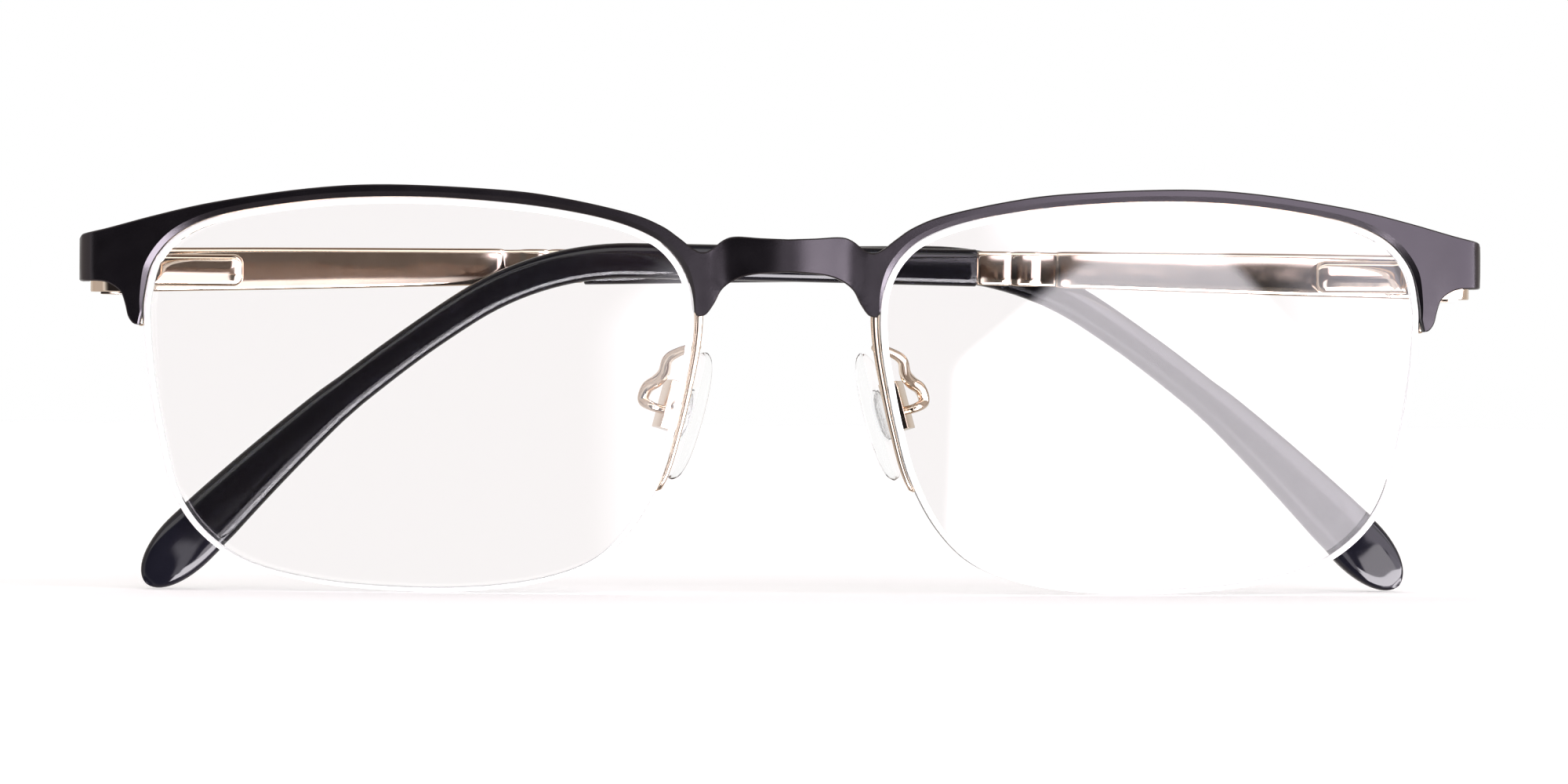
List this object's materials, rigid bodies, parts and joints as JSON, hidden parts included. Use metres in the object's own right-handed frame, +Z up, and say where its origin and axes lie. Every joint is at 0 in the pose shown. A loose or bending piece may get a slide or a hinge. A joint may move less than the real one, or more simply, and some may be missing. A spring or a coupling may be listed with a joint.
{
  "type": "half rim eyeglasses",
  "caption": "Half rim eyeglasses: black brow plate, clear lenses held by a cord, gold spring-hinged temples with black sleeves, shown folded.",
  "frame": {"origin": "middle of the folded glasses on the surface that they stand on", "axes": "+X along the front towards the wearer's left, -Y the way the front faces, +Z up from the lens bottoms to the brow"},
  "size_m": [0.1386, 0.0226, 0.0397],
  "materials": {
    "black_metal": "satin black paint on a metal sheet",
    "gold_metal": "polished pale gold plating",
    "screw_steel": "turned steel",
    "lens": "clear, polished, ground groove in the edge",
    "nylon": "clear nylon strand",
    "pad_silicone": "clear soft silicone",
    "pad_insert": "clear moulded insert",
    "black_sleeve": "gloss black moulded sleeve"
  },
  "bodies": {
    "front": {"brow_plate": "black_metal", "eyewire_left": "gold_metal", "rim_liner_left": "nylon", "lens_left": "lens", "lens_cord_left": "nylon", "endpiece_left": "gold_metal", "front_hinge_left": "gold_metal", "hinge_screw_left": "screw_steel", "pad_arm_left": "gold_metal", "pad_box_left": "gold_metal", "pad_screw_left": "screw_steel", "eyewire_right": "gold_metal", "rim_liner_right": "nylon", "lens_right": "lens", "lens_cord_right": "nylon", "endpiece_right": "gold_metal", "front_hinge_right": "gold_metal", "hinge_screw_right": "screw_steel", "pad_arm_right": "gold_metal", "pad_box_right": "gold_metal", "pad_screw_right": "screw_steel"},
    "slider_left": {"hinge_slider_left": "gold_metal", "slider_nut_left": "screw_steel", "hinge_spring_left": "screw_steel"},
    "temple_left": {"temple_bar_left": "gold_metal", "temple_tip_left": "black_sleeve", "spring_housing_left": "gold_metal"},
    "pad_left": {"nose_pad_left": "pad_silicone", "pad_core_left": "pad_insert"},
    "slider_right": {"hinge_slider_right": "gold_metal", "slider_nut_right": "screw_steel", "hinge_spring_right": "screw_steel"},
    "temple_right": {"temple_bar_right": "gold_metal", "temple_tip_right": "black_sleeve", "spring_housing_right": "gold_metal"},
    "pad_right": {"nose_pad_right": "pad_silicone", "pad_core_right": "pad_insert"}
  },
  "joints": [
    {"name": "fold_left", "type": "hinge", "parent": "front", "child": "slider_left", "pos_m": [0.066, 0.00388, 0.0315], "axis": [0, 0, -1], "range_deg": [0, 96.5]},
    {"name": "flex_left", "type": "slide", "parent": "slider_left", "child": "temple_left", "axis": [-0.9997, -0.0262, 0], "range_m": [0, 0.0012], "stiffness_N_per_m": 1500, "springref_m": -0.001, "deforming": ["hinge_spring_left"]},
    {"name": "pad_rock_left", "type": "hinge", "parent": "front", "child": "pad_left", "pos_m": [0.01087, -0.00255, 0.0183], "axis": [0.3746, 0.9272, 0], "range_deg": [-10, 10]},
    {"name": "fold_right", "type": "hinge", "parent": "front", "child": "slider_right", "pos_m": [-0.066, 0.00388, 0.0315], "axis": [0, 0, 1], "range_deg": [0, 93.5]},
    {"name": "flex_right", "type": "slide", "parent": "slider_right", "child": "temple_right", "axis": [0.9997, 0.0262, 0], "range_m": [0, 0.0012], "stiffness_N_per_m": 1500, "springref_m": -0.001, "deforming": ["hinge_spring_right"]},
    {"name": "pad_rock_right", "type": "hinge", "parent": "front", "child": "pad_right", "pos_m": [-0.01087, -0.00255, 0.0183], "axis": [-0.3746, 0.9272, 0], "range_deg": [-10, 10]}
  ]
}
